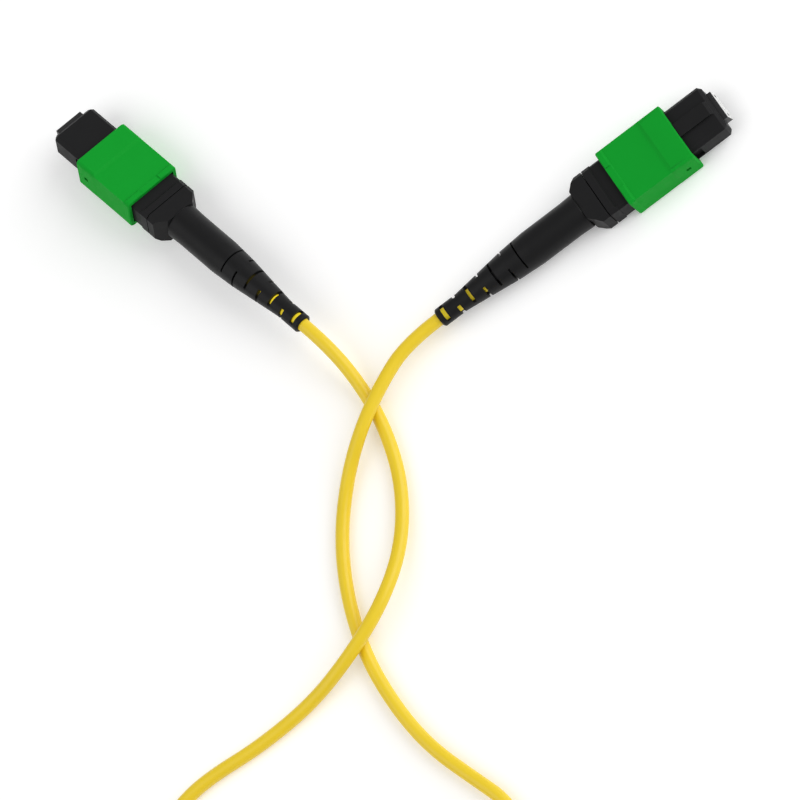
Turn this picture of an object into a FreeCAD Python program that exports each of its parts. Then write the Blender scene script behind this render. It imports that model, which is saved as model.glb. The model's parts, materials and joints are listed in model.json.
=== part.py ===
import FreeCAD
import Part
import math
import os

# A multi-fibre push-on patch cord: two twelve-fibre connectors with angled
# ferrules, joined by one round cord.  Millimetres, +Z up, the floor at z = 0.
# Each connector is drawn in its own frame: +X runs forward along its axis from
# the mouth of its boot, and +Z is the side with the key.

# ---- ferrule (a standard twelve-fibre rectangular ferrule) ----
ferrule_width = 6.4
ferrule_height = 2.5
ferrule_length = 8.0
ferrule_shoulder_width = 7.0
ferrule_shoulder_height = 3.0
ferrule_shoulder_length = 2.1
guide_hole_radius = 0.35
guide_hole_pitch = 4.6
polish_angle = 8.0
ferrule_pocket_width = 3.4
ferrule_pocket_height = 1.5
ferrule_pocket_depth = 2.2
glue_window_length = 2.2
glue_window_width = 3.0
glue_window_setback = 2.4
ferrule_protrusion = 1.2

# ---- what carries the ferrule ----
ferrule_boot_length = 4.3
ferrule_boot_tail = 2.4
keeper_width = 6.8
keeper_height = 3.0
keeper_length = 1.7
keeper_pin_slot = 0.9
keeper_chamfer = 0.3
main_spring_width = 6.4
main_spring_height = 3.0
main_spring_wire = 0.5
main_spring_turns = 5
bend_steps = 3
round_steps = 8

# ---- inner housing ----
nose_width = 10.3
nose_edge_chamfer = 0.7
nose_front_chamfer = 0.7
housing_height = 5.5
housing_width = 10.9
housing_edge_chamfer = 0.5
nose_length = 11.0
housing_length = 27.8
spring_bore_width = 7.2
spring_bore_height = 3.6
shoulder_bore_height = 3.2
shoulder_bore_length = 3.2
collar_length = 1.4
collar_ramp = 0.5
key_width = 3.0
key_height = 0.7
key_root = 0.3
key_under_sleeve = 1.8
key_front_slope = 0.6
catch_length = 6.6
catch_recess_depth = 0.65
catch_recess_height = 3.4
return_pocket_length = 8.0
return_pocket_depth = 1.4
return_pocket_height = 1.6
return_pocket_setback = 12.0
latch_window_length = 2.0
latch_window_height = 2.3
latch_window_from_rear = 5.0

# ---- coupling sleeve ----
sleeve_width = 12.9
sleeve_height = 7.8
sleeve_length = 15.2
sleeve_corner = 0.9
sleeve_land_length = 4.75
sleeve_rim_length = 1.1
sleeve_front_ramp = 0.7
sleeve_rim_ramp = 0.4
rim_notch_width = 5.0
rim_notch_depth = 0.25
grip_depth = 0.4
grip_side_depth = 0.15
nose_reach = 8.4
sleeve_lip = 0.5
sleeve_edge_chamfer = 0.2
keyway_roof = 0.15
sight_hole_size = 1.0
sight_hole_setback = 2.45
tab_length = 1.2
tab_root = 0.2
return_spring_diameter = 1.22
return_spring_wire = 0.22
return_spring_turns = 5

# ---- rear body, crimp and boot ----
flange_width = 11.0
flange_height = 6.8
flange_length = 3.95
flange_corner_length = 2.1
flange_corner_width = 2.2
flange_edge_chamfer = 0.85
insert_length = 9.6
insert_bore_width = 4.8
insert_bore_height = 2.0
throat_setback = 1.6
latch_length = 1.6
latch_depth = 0.6
latch_root = 0.5
barrel_radius = 1.95
barrel_length = 7.0
barrel_bore_radius = 1.2
barrel_groove_count = 2
barrel_groove_width = 0.6
barrel_groove_depth = 0.15
aramid_thickness = 0.15
aramid_rear_gap = 0.2
aramid_front_gap = 1.0
crimp_wall = 0.25
crimp_length = 6.6
crimp_step_gap = 0.7
crimp_tail_length = 5.6
boot_front_radius = 3.8
boot_waist_radius = 3.66
boot_shoulder_radius = 3.3
boot_mouth_radius = 1.95
boot_sleeve_length = 12.2
boot_taper_length = 22.5
boot_shoulder_length = 17.0
boot_neck_length = 5.4
boot_flare_length = 3.0
slot_row_count = 7
slot_row_pitch = 3.03
first_slot_row = 1.6
slot_width_at_mouth = 0.85
slot_width_at_waist = 0.35
broad_slot_half_angle = 70.0
side_slot_half_angle = 60.0
boot_mouth_round = 0.3
boot_front_bevel = 0.12

# ---- fibres ----
ribbon_width = 2.9
ribbon_thickness = 0.2
bundle_width = 1.4
bundle_height = 1.2
ribbon_gather_length = 3.0

# ---- clearances ----
slide_clearance = 0.15
fit_clearance = 0.1
close_clearance = 0.05
crimp_clearance = 0.02
jacket_gap = 0.4
cut_margin = 1.0
stop_clearance = 0.1
boot_gap = 0.06

# ---- cord ----
cord_diameter = 2.7
coil_inner_turn = 12.2
coil_turns_across = 3
coil_layers = 2
coil_corner_cut = 0.7
tie_thickness = 0.5
tie_angle = 18.0
tie_bearing = 150.0
tie_clearance = 0.05
crossing_gap = 0.6
turn_slack = 0.1

# ---- where the pieces lie on the floor ----
connector_a_mouth = (-11.5, -37.7)
connector_a_yaw = 0.0
connector_b_mouth = (-34.0, -22.3)
connector_b_yaw = 105.0
connector_b_lean = 24.0
coil_centre = (-92.4, -123.9)

# The stations along a connector's axis follow from the lengths above.
boot_length = boot_sleeve_length + boot_taper_length
flange_rear = boot_length
flange_front = flange_rear + flange_length
housing_front = flange_front + housing_length
sleeve_front = housing_front - nose_reach
sleeve_rear = sleeve_front - sleeve_length
nose_rear = housing_front - nose_length
ferrule_tip = housing_front + ferrule_protrusion
ferrule_rear = ferrule_tip - ferrule_length
shoulder_stop = ferrule_rear + ferrule_shoulder_length + stop_clearance
keeper_front = ferrule_rear - stop_clearance
keeper_rear = keeper_front - keeper_length
spring_front = keeper_rear - stop_clearance
insert_front = flange_front + insert_length
barrel_rear = flange_rear - barrel_length
jacket_end = barrel_rear - jacket_gap
crimp_bore = barrel_radius + aramid_thickness + 2 * crimp_clearance
crimp_corner = (crimp_bore + crimp_wall) / math.cos(math.pi / 6)
crimp_step = barrel_rear - crimp_step_gap
crimp_front = crimp_step + crimp_length
crimp_rear = crimp_step - crimp_tail_length
boot_socket_start = crimp_rear - stop_clearance
boot_socket_radius = crimp_corner + close_clearance
boot_bore_radius = cord_diameter / 2 + fit_clearance
pocket_front = housing_front - return_pocket_setback
pocket_rear = pocket_front - return_pocket_length
tab_front = pocket_front - stop_clearance
tab_rear = tab_front - tab_length
window_rear = flange_front + latch_window_from_rear
return_spring_middle = housing_width / 2 - return_pocket_depth / 2 + close_clearance


def vec(x, y, z):
    return FreeCAD.Vector(x, y, z)


def bar(rear, front, width, height):
    """A square-edged bar along X, centred on the axis."""
    return Part.makeBox(front - rear, width, height, vec(rear, -width / 2, -height / 2))


def along_x(shape):
    return [e for e in shape.Edges if abs(e.tangentAt(e.FirstParameter).x) > 0.999]


def rounded_bar(rear, front, width, height, radius):
    plain = bar(rear, front, width, height)
    return plain.makeFillet(radius, along_x(plain))


def chamfered_bar(rear, front, width, height, size):
    plain = bar(rear, front, width, height)
    return plain.makeChamfer(size, along_x(plain))


def hexagon_bar(rear, front, corner):
    """A six-sided bar along X, with its corners at a given radius."""
    angles = [math.radians(60 * step) for step in range(6)]
    points = [vec(rear, corner * math.cos(a), corner * math.sin(a)) for a in angles]
    wire = Part.makePolygon(points + [points[0]])
    return Part.Face(wire).extrude(vec(front - rear, 0, 0))


def rod(rear, front, radius):
    return Part.makeCylinder(radius, front - rear, vec(rear, 0, 0), vec(1, 0, 0))


def turned(outline):
    """Revolve an outline of (x, radius) points about the axis."""
    points = [vec(x, 0, r) for x, r in outline]
    wire = Part.makePolygon(points + [points[0]])
    return Part.Face(wire).revolve(vec(0, 0, 0), vec(1, 0, 0), 360)


def side_profile(outline, width):
    """Extrude an (x, z) outline across the width."""
    points = [vec(x, -width / 2, z) for x, z in outline]
    wire = Part.makePolygon(points + [points[0]])
    return Part.Face(wire).extrude(vec(0, width, 0))


def plan_profile(outline, height):
    """Extrude an (x, y) outline through the height."""
    points = [vec(x, y, -height / 2) for x, y in outline]
    wire = Part.makePolygon(points + [points[0]])
    return Part.Face(wire).extrude(vec(0, 0, height))


def mirrored(outline):
    """Complete the upper half of an outline with its mirror image."""
    return outline + [(x, -y) for x, y in reversed(outline)]


def behind_polish(length):
    """All the space behind the polished face, which leans back towards the key."""
    corner = vec(-length, -2 * ferrule_width, -length)
    space = Part.makeBox(length, 4 * ferrule_width, 2 * length, corner)
    space.rotate(vec(0, 0, 0), vec(0, 1, 0), -polish_angle)
    space.translate(vec(ferrule_tip, 0, 0))
    return space


def make_ferrule():
    lean = ferrule_height * math.tan(math.radians(polish_angle))
    body = bar(ferrule_rear, ferrule_tip + lean, ferrule_width, ferrule_height)
    shoulder = bar(
        ferrule_rear,
        ferrule_rear + ferrule_shoulder_length,
        ferrule_shoulder_width,
        ferrule_shoulder_height,
    )
    shape = body.fuse(shoulder).removeSplitter().common(behind_polish(2 * ferrule_length))
    pocket_end = ferrule_rear + ferrule_pocket_depth
    pocket = bar(ferrule_rear - cut_margin, pocket_end, ferrule_pocket_width, ferrule_pocket_height)
    slot_width = ribbon_width + 2 * close_clearance
    slot_height = ribbon_thickness + 2 * close_clearance
    slot = bar(ferrule_rear, ferrule_tip + cut_margin, slot_width, slot_height)
    window_front = ferrule_tip - glue_window_setback
    window = Part.makeBox(
        glue_window_length,
        glue_window_width,
        ferrule_height,
        vec(window_front - glue_window_length, -glue_window_width / 2, 0),
    )
    shape = shape.cut(pocket).cut(slot).cut(window)
    for side in (-1, 1):
        hole = rod(ferrule_rear - cut_margin, ferrule_tip + cut_margin, guide_hole_radius)
        hole.translate(vec(0, side * guide_hole_pitch / 2, 0))
        shape = shape.cut(hole)
    return shape


def make_ferrule_boot():
    rear = ferrule_rear - ferrule_boot_tail
    front = rear + ferrule_boot_length
    width = ferrule_pocket_width - fit_clearance
    height = ferrule_pocket_height - fit_clearance
    block = bar(rear, front, width, height)
    slot_width = ribbon_width + 2 * close_clearance
    slot_height = ribbon_thickness + 2 * close_clearance
    return block.cut(bar(rear - cut_margin, front + cut_margin, slot_width, slot_height))


def make_pin_keeper():
    plate = chamfered_bar(keeper_rear, keeper_front, keeper_width, keeper_height, keeper_chamfer)
    opening = bar(
        keeper_rear - cut_margin,
        keeper_front + cut_margin,
        ferrule_pocket_width + 2 * close_clearance,
        ferrule_pocket_height + 2 * close_clearance,
    )
    plate = plate.cut(opening)
    slot_floor = (guide_hole_pitch - keeper_pin_slot) / 2
    for side in (-1, 1):
        slot = side_cut(keeper_rear, keeper_front, keeper_pin_slot, slot_floor, side)
        plate = plate.cut(slot)
    return plate


def oval_outline(width, height):
    """One turn of an oval: two straight sides and two half rounds, as (y, z) points."""
    bend = height / 2
    straight = (width - height) / 2
    points = []
    for side in (1, -1):
        for step in range(bend_steps + 1):
            angle = math.pi * (step / bend_steps - 0.5)
            points.append((side * (straight + bend * math.cos(angle)), side * bend * math.sin(angle)))
    return points


def round_outline(radius):
    """One turn of a circle, as (y, z) points."""
    angles = [2 * math.pi * step / round_steps for step in range(round_steps)]
    return [(radius * math.cos(a), radius * math.sin(a)) for a in angles]


def wire_section(before, place, after, size):
    """A square section of wire at a corner of its path, widened to suit the mitre."""
    arriving = (place - before).normalize()
    leaving = (after - place).normalize()
    heading = (arriving + leaving).normalize()
    widened = size / 2 / math.cos(arriving.getAngle(leaving) / 2)
    outward = heading.cross(vec(1, 0, 0)).normalize()
    upward = outward.cross(heading).normalize() * (size / 2)
    outward = outward * widened
    corners = [place + outward + upward, place - outward + upward]
    corners += [place - outward - upward, place + outward - upward]
    return Part.makePolygon(corners + [corners[0]])


def coil_spring(outline, wire_size, rear, front, turns):
    """Wind a flat-sided wire round an outline between two stations, its ends ground square."""
    count = turns * len(outline)
    rise = (front - rear) / count
    points = []
    for index in range(-1, count + 2):
        y, z = outline[index % len(outline)]
        points.append(vec(rear + rise * index, y, z))
    steps = zip(points, points[1:], points[2:])
    sections = [wire_section(a, b, c, wire_size) for a, b, c in steps]
    coil = Part.makeLoft(sections, True, True)
    reach = 2 * max(abs(y) + abs(z) for y, z in outline) + 2 * wire_size
    return coil.common(bar(rear, front, reach, reach))


def make_main_spring():
    outline = oval_outline(main_spring_width - main_spring_wire, main_spring_height - main_spring_wire)
    rear = insert_front + stop_clearance
    return coil_spring(outline, main_spring_wire, rear, spring_front, main_spring_turns)


def make_return_springs():
    outline = round_outline((return_spring_diameter - return_spring_wire) / 2)
    rear = pocket_rear + close_clearance
    front = tab_rear - close_clearance
    springs = []
    for side in (-1, 1):
        spring = coil_spring(outline, return_spring_wire, rear, front, return_spring_turns)
        spring.translate(vec(0, side * return_spring_middle, 0))
        springs.append(spring)
    return Part.makeCompound(springs)


def housing_outside():
    nose = chamfered_bar(nose_rear, housing_front, nose_width, housing_height, nose_edge_chamfer)
    front_face = [f for f in nose.Faces if abs(f.CenterOfMass.x - housing_front) < 1e-6][0]
    nose = nose.makeChamfer(nose_front_chamfer, front_face.Edges)
    body = chamfered_bar(flange_front, nose_rear, housing_width, housing_height, housing_edge_chamfer)
    collar_front = flange_front + collar_length
    half = flange_height / 2
    ramp_foot = collar_front + collar_ramp
    collar = side_profile(
        mirrored([(flange_front, half), (collar_front, half), (ramp_foot, housing_height / 2)]),
        flange_width,
    )
    collar = collar.common(
        chamfered_bar(flange_front, ramp_foot, flange_width, flange_height, flange_edge_chamfer)
    )
    return nose.fuse([body, collar])


def make_key():
    front = housing_front - nose_front_chamfer
    rear = sleeve_front - key_under_sleeve
    foot = housing_height / 2 - key_root
    top = housing_height / 2 + key_height
    outline = [
        (rear, foot),
        (rear, top),
        (front - key_front_slope, top),
        (front, top - key_front_slope),
        (front, foot),
    ]
    return side_profile(outline, key_width)


def make_inner_housing():
    shape = housing_outside().fuse(make_key())
    shoulder_bore_rear = shoulder_stop - shoulder_bore_length
    spring_bore = bar(flange_front - cut_margin, shoulder_bore_rear, spring_bore_width, spring_bore_height)
    shoulder_bore = bar(shoulder_bore_rear, shoulder_stop, spring_bore_width, shoulder_bore_height)
    opening = bar(
        shoulder_stop - cut_margin,
        housing_front + cut_margin,
        ferrule_width + 2 * fit_clearance,
        ferrule_height + 2 * fit_clearance,
    )
    shape = shape.cut(spring_bore.fuse([shoulder_bore, opening]))
    for side in (-1, 1):
        spring_floor = housing_width / 2 - return_pocket_depth
        catch_floor = nose_width / 2 - catch_recess_depth
        catch_front = housing_front - catch_length
        window_floor = spring_bore_width / 2 - latch_root
        window_front = window_rear + latch_window_length
        shape = shape.cut(side_cut(pocket_rear, pocket_front, return_pocket_height, spring_floor, side))
        shape = shape.cut(side_cut(nose_rear, catch_front, catch_recess_height, catch_floor, side))
        shape = shape.cut(side_cut(window_rear, window_front, latch_window_height, window_floor, side))
    return shape


def side_cut(rear, front, height, floor, side):
    """A pocket cut into one narrow side, down to a given distance from the axis."""
    depth = sleeve_width - floor
    low = floor if side > 0 else -sleeve_width
    return Part.makeBox(front - rear, depth, height, vec(rear, low, -height / 2))


def sleeve_outline(half, dip):
    """Half of a sleeve outline: a rear rim, a sunk grip and the land at the front."""
    return [
        (sleeve_rear, half),
        (sleeve_rear + sleeve_rim_length, half),
        (sleeve_rear + sleeve_rim_length + sleeve_rim_ramp, half - dip),
        (sleeve_front - sleeve_land_length - sleeve_front_ramp, half - dip),
        (sleeve_front - sleeve_land_length, half),
        (sleeve_front, half),
    ]


def sleeve_outside():
    block = rounded_bar(sleeve_rear, sleeve_front, sleeve_width, sleeve_height, sleeve_corner)
    ends = [f for f in block.Faces if abs(f.normalAt(0, 0).x) > 0.999]
    block = block.makeChamfer(sleeve_edge_chamfer, ends[0].Edges + ends[1].Edges)
    sides = side_profile(mirrored(sleeve_outline(sleeve_height / 2, grip_depth)), sleeve_width)
    plan = plan_profile(mirrored(sleeve_outline(sleeve_width / 2, grip_side_depth)), sleeve_height)
    shape = block.common(sides).common(plan)
    notch_front = sleeve_rear + sleeve_rim_length + sleeve_rim_ramp
    dipped = sleeve_height - 2 * rim_notch_depth
    around = bar(sleeve_rear - cut_margin, notch_front, rim_notch_width, 2 * sleeve_height)
    return shape.cut(around.cut(bar(sleeve_rear - cut_margin, notch_front, rim_notch_width, dipped)))


def make_coupling_sleeve():
    bore_width = housing_width + 2 * slide_clearance
    bore_height = housing_height + 2 * slide_clearance
    lip_rear = sleeve_front - sleeve_lip
    bore = bar(sleeve_rear - cut_margin, lip_rear, bore_width, bore_height)
    mouth_width = nose_width + 2 * slide_clearance
    mouth = bar(lip_rear - cut_margin, sleeve_front + cut_margin, mouth_width, bore_height)
    shape = sleeve_outside().cut(bore.fuse(mouth))
    keyway_rear = sleeve_front - key_under_sleeve - slide_clearance
    keyway_top = housing_height / 2 + key_height + keyway_roof
    keyway = Part.makeBox(
        sleeve_front + cut_margin - keyway_rear,
        key_width + 2 * slide_clearance,
        keyway_top,
        vec(keyway_rear, -key_width / 2 - slide_clearance, 0),
    )
    shape = shape.cut(keyway)
    hole_middle = sleeve_front - sight_hole_setback
    hole_rear = hole_middle - sight_hole_size / 2
    hole_front = hole_middle + sight_hole_size / 2
    for side in (-1, 1):
        hole = side_cut(hole_rear, hole_front, sight_hole_size, bore_width / 2 - cut_margin, side)
        shape = shape.cut(hole).fuse(spring_tab(side, bore_width / 2))
    return shape


def spring_tab(side, wall):
    """The lug inside the sleeve that bears on a return spring."""
    inner = housing_width / 2 - return_pocket_depth + 2 * fit_clearance
    height = return_pocket_height - 2 * slide_clearance
    depth = wall + tab_root - inner
    low = inner if side > 0 else -inner - depth
    return Part.makeBox(tab_front - tab_rear, depth, height, vec(tab_rear, low, -height / 2))


def make_rear_body():
    half = flange_width / 2
    outline = [
        (flange_rear, half - flange_corner_width),
        (flange_rear + flange_corner_length, half),
        (flange_front, half),
    ]
    flange = plan_profile(mirrored(outline), flange_height)
    flange = flange.common(
        chamfered_bar(flange_rear, flange_front, flange_width, flange_height, flange_edge_chamfer)
    )
    insert = bar(
        flange_front - cut_margin,
        insert_front,
        spring_bore_width - 2 * fit_clearance,
        spring_bore_height - 2 * fit_clearance,
    )
    barrel = rod(barrel_rear, flange_rear + cut_margin, barrel_radius)
    shape = flange.fuse([insert, barrel])
    for side in (-1, 1):
        shape = shape.fuse(latch_bump(side))
    throat_rear = flange_rear + throat_setback
    throat = bar(throat_rear, insert_front + cut_margin, insert_bore_width, insert_bore_height)
    bore = rod(barrel_rear - cut_margin, throat_rear + cut_margin, barrel_bore_radius)
    shape = shape.cut(throat.fuse(bore))
    spacing = barrel_length / (barrel_groove_count + 1)
    for index in range(barrel_groove_count):
        middle = barrel_rear + spacing * (index + 1)
        groove_rear = middle - barrel_groove_width / 2
        groove_front = middle + barrel_groove_width / 2
        floor = barrel_radius - barrel_groove_depth
        shape = shape.cut(tube(groove_rear, groove_front, floor, barrel_radius + cut_margin))
    return shape


def latch_bump(side):
    """A ramped bump that snaps into the housing's window."""
    wall = spring_bore_width / 2 - fit_clearance
    front = window_rear + latch_window_length - (latch_window_length - latch_length) / 2
    rear = front - latch_length
    outline = [
        (rear, wall - latch_root),
        (rear, wall + latch_depth),
        (rear + latch_length / 3, wall + latch_depth),
        (front, wall),
        (front, wall - latch_root),
    ]
    height = latch_window_height - 2 * slide_clearance
    return plan_profile([(x, side * y) for x, y in outline], height)


def tube(rear, front, inner, outer):
    return rod(rear, front, outer).cut(rod(rear - cut_margin, front + cut_margin, inner))


def make_aramid_yarn():
    inner = barrel_radius + crimp_clearance
    rear = barrel_rear + aramid_rear_gap
    front = flange_rear - aramid_front_gap
    return tube(rear, front, inner, inner + aramid_thickness)


def make_crimp_sleeve():
    tail_bore = cord_diameter / 2 + close_clearance
    barrel = hexagon_bar(crimp_step, crimp_front, crimp_corner)
    tail = rod(crimp_rear, crimp_step + crimp_wall, tail_bore + crimp_wall)
    hollow = rod(crimp_step + crimp_wall, crimp_front + cut_margin, crimp_bore)
    tail_hollow = rod(crimp_rear - cut_margin, crimp_front, tail_bore)
    return barrel.fuse(tail).cut(hollow.fuse(tail_hollow))


def boot_outside_radius():
    """Corners of the boot's outline, from its mouth to its front."""
    front = boot_length - boot_gap
    return [
        (0, boot_mouth_radius - boot_mouth_round),
        (boot_mouth_round, boot_mouth_radius),
        (boot_neck_length, boot_mouth_radius),
        (boot_shoulder_length, boot_shoulder_radius),
        (boot_taper_length, boot_waist_radius),
        (front - boot_flare_length, boot_waist_radius),
        (front - boot_front_bevel, boot_front_radius),
        (front, boot_front_radius - boot_front_bevel),
    ]


def boot_slot(middle, width, half_angle, turn):
    """A slot through the boot's wall, centred on a direction round the axis."""
    wedge = Part.makeCylinder(
        2 * boot_front_radius, width, vec(0, 0, 0), vec(0, 0, 1), 2 * half_angle
    )
    wedge.rotate(vec(0, 0, 0), vec(0, 0, 1), -half_angle)
    wedge.rotate(vec(0, 0, 0), vec(0, 1, 0), 90)
    wedge.rotate(vec(0, 0, 0), vec(1, 0, 0), turn)
    wedge.translate(vec(middle - width / 2, 0, 0))
    return wedge


def make_boot():
    front = boot_length - boot_gap
    inside = [
        (front, boot_socket_radius),
        (boot_socket_start, boot_socket_radius),
        (boot_socket_start, boot_bore_radius),
        (0, boot_bore_radius),
    ]
    shape = turned(boot_outside_radius() + inside)
    slots = []
    for row in range(slot_row_count):
        share = row / (slot_row_count - 1)
        width = slot_width_at_mouth + share * (slot_width_at_waist - slot_width_at_mouth)
        middle = first_slot_row + slot_row_pitch * row
        on_broad_side = row % 2 == 0
        half_angle = broad_slot_half_angle if on_broad_side else side_slot_half_angle
        first_turn = 0 if on_broad_side else 90
        slots.append(boot_slot(middle, width, half_angle, first_turn))
        slots.append(boot_slot(middle, width, half_angle, first_turn + 180))
    return shape.cut(slots)


def make_jacket_end():
    return rod(0, jacket_end, cord_diameter / 2)


def make_fibre_ribbon():
    gather_front = insert_front - 2 * ribbon_gather_length
    gather_rear = gather_front - ribbon_gather_length
    bundle_rear = jacket_end + close_clearance
    front = ferrule_tip + ferrule_height
    plan = [
        (bundle_rear, bundle_width / 2),
        (gather_rear, bundle_width / 2),
        (gather_front, ribbon_width / 2),
        (front, ribbon_width / 2),
    ]
    side = [
        (bundle_rear, bundle_height / 2),
        (gather_rear, bundle_height / 2),
        (gather_front, ribbon_thickness / 2),
        (front, ribbon_thickness / 2),
    ]
    shape = plan_profile(mirrored(plan), bundle_height)
    shape = shape.common(side_profile(mirrored(side), ribbon_width))
    return shape.common(behind_polish(2 * ferrule_tip))


connector_pieces = {
    "ferrule": make_ferrule,
    "ferrule_boot": make_ferrule_boot,
    "pin_keeper": make_pin_keeper,
    "main_spring": make_main_spring,
    "inner_housing": make_inner_housing,
    "coupling_sleeve": make_coupling_sleeve,
    "return_springs": make_return_springs,
    "rear_body": make_rear_body,
    "aramid_yarn": make_aramid_yarn,
    "crimp_sleeve": make_crimp_sleeve,
    "boot": make_boot,
    "jacket_end": make_jacket_end,
    "fibre_ribbon": make_fibre_ribbon,
}


def rest_height(lean):
    """How high the axis lies when the sleeve leans on the floor by an angle."""
    slope = math.radians(lean)
    across = (sleeve_width / 2 - sleeve_corner) * math.sin(slope)
    up = (sleeve_height / 2 - sleeve_corner) * math.cos(slope)
    return across + up + sleeve_corner


def placement(mouth, yaw, roll, height):
    turn = FreeCAD.Rotation(vec(0, 0, 1), yaw) * FreeCAD.Rotation(vec(1, 0, 0), roll)
    return FreeCAD.Placement(vec(mouth[0], mouth[1], height), turn)


# Connector A lies flat with its key up.  Connector B lies key down and leans on
# one edge of its sleeve, held there by the twist of the cord.
height_a = rest_height(0)
height_b = rest_height(connector_b_lean)
placement_a = placement(connector_a_mouth, connector_a_yaw, 0, height_a)
placement_b = placement(connector_b_mouth, connector_b_yaw, 180 + connector_b_lean, height_b)

# ---- routes of the cord, from each boot to the coil ----
lying = cord_diameter / 2
over = 1.5 * cord_diameter + crossing_gap
coil_lift = tie_thickness + tie_clearance
low_turn = coil_lift + cord_diameter / 2 + turn_slack
high_turn = low_turn + cord_diameter - 2 * turn_slack

route_a = [
    (-11.5, -37.7, height_a),
    (-19.7, -37.7, height_a),
    (-26.8, -40.6, over),
    (-34.9, -46.3, over),
    (-43.0, -52.5, 1.9),
    (-51.1, -60.9, lying),
    (-56.9, -71.6, lying),
    (-60.3, -82.9, lying),
    (-60.5, -94.7, lying),
    (-58.1, -105.2, lying),
    (-54.3, -114.9, lying),
    (-51.8, -122.8, lying),
    (-52.7, -131.2, 1.5),
    (-57.3, -138.2, 2.1),
    (-64.9, -142.1, 2.9),
    (-79.3, -143.0, high_turn),
    (-93.9, -141.4, high_turn),
]
route_b = [
    (-34.0, -22.3, height_b),
    (-32.033, -29.641, height_b),
    (-30.8, -38.0, 1.8),
    (-32.0, -48.0, lying),
    (-35.5, -58.9, lying),
    (-42.1, -69.4, 2.1),
    (-51.2, -77.1, over),
    (-62.5, -82.1, over),
    (-73.6, -85.5, 1.7),
    (-86.0, -86.0, lying),
    (-95.8, -84.4, lying),
    (-103.7, -84.3, lying),
    (-112.3, -86.7, lying),
    (-119.5, -92.9, lying),
    (-122.7, -102.3, lying),
    (-120.8, -112.8, lying),
    (-114.2, -123.5, 1.5),
    (-107.1, -133.6, low_turn),
]


def rounded_path(points):
    """Straight runs joined by tangent arcs, each as large as its runs allow."""
    edges = []
    radii = []
    start = points[0]
    for before, corner, after in zip(points, points[1:], points[2:]):
        back = (before - corner).normalize()
        ahead = (after - corner).normalize()
        turn = math.pi - back.getAngle(ahead)
        shorter = min(before.distanceToPoint(corner), after.distanceToPoint(corner))
        reach = 0.45 * shorter
        radius = reach / math.tan(turn / 2)
        radii.append(radius)
        arc_start = corner + back * reach
        arc_end = corner + ahead * reach
        inward = (back + ahead).normalize()
        middle = corner + inward * (radius / math.cos(turn / 2) - radius)
        edges.append(Part.makeLine(start, arc_start))
        edges.append(Part.Arc(arc_start, middle, arc_end).toShape())
        start = arc_end
    edges.append(Part.makeLine(start, points[-1]))
    return Part.Wire(edges), radii


def make_cord_run(route, name):
    points = [vec(*place) for place in route]
    path, radii = rounded_path(points)
    section = Part.Wire(Part.makeCircle(cord_diameter / 2, points[0], points[1] - points[0]))
    run = path.makePipeShell([section], True, False)
    expected = math.pi * (cord_diameter / 2) ** 2 * path.Length
    print(name, "length", round(path.Length, 2), "volume ratio", round(run.Volume / expected, 5))
    print(name, "radii", [round(r, 1) for r in radii])
    return run


def coil_section(margin):
    """The outline of the bundled turns with its corners cut off, grown by a margin."""
    inner = coil_inner_turn - cord_diameter / 2 - margin
    outer = inner + coil_turns_across * cord_diameter + 2 * margin
    low = coil_lift - margin
    high = low + coil_layers * cord_diameter + 2 * margin
    cut = coil_corner_cut + margin / 2
    points = [
        (inner + cut, low),
        (outer - cut, low),
        (outer, low + cut),
        (outer, high - cut),
        (outer - cut, high),
        (inner + cut, high),
        (inner, high - cut),
        (inner, low + cut),
    ]
    wire = Part.makePolygon([vec(x, 0, z) for x, z in points + [points[0]]])
    return Part.Face(wire)


def make_cord_coil():
    ring = coil_section(0).revolve(vec(0, 0, 0), vec(0, 0, 1), 360)
    ring.translate(vec(coil_centre[0], coil_centre[1], 0))
    return ring


def make_coil_tie():
    outside = coil_section(tie_clearance + tie_thickness)
    band = outside.cut(coil_section(tie_clearance))
    tie = band.revolve(vec(0, 0, 0), vec(0, 0, 1), tie_angle)
    tie.rotate(vec(0, 0, 0), vec(0, 0, 1), tie_bearing)
    tie.translate(vec(coil_centre[0], coil_centre[1], 0))
    return tie


os.makedirs("parts", exist_ok=True)
shapes = {}
for piece, make in connector_pieces.items():
    solid = make()
    for end, where in (("a", placement_a), ("b", placement_b)):
        placed = solid.copy()
        placed.Placement = where.multiply(placed.Placement)
        shapes[piece + "_" + end] = placed
shapes["cord_run_a"] = make_cord_run(route_a, "cord_run_a")
shapes["cord_run_b"] = make_cord_run(route_b, "cord_run_b")
shapes["cord_coil"] = make_cord_coil()
shapes["coil_tie"] = make_coil_tie()
for node, shape in shapes.items():
    if not shape.isValid():
        print("not valid:", node)
    shape.exportStep("parts/" + node + ".step")
print(len(shapes), "nodes")
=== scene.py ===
import bpy
import bmesh
import json
import math
from mathutils import Matrix, Vector


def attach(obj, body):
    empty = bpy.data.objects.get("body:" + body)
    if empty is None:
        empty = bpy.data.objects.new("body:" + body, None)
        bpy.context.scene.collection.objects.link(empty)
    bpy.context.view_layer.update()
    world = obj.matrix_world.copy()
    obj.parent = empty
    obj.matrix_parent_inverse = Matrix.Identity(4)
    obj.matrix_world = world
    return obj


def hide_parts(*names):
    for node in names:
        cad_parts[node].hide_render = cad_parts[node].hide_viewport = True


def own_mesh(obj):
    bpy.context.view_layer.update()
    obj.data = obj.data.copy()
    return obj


# A fibre patch cord: two multi-fibre plugs on one yellow cord, crossing itself on a white table.

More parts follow.
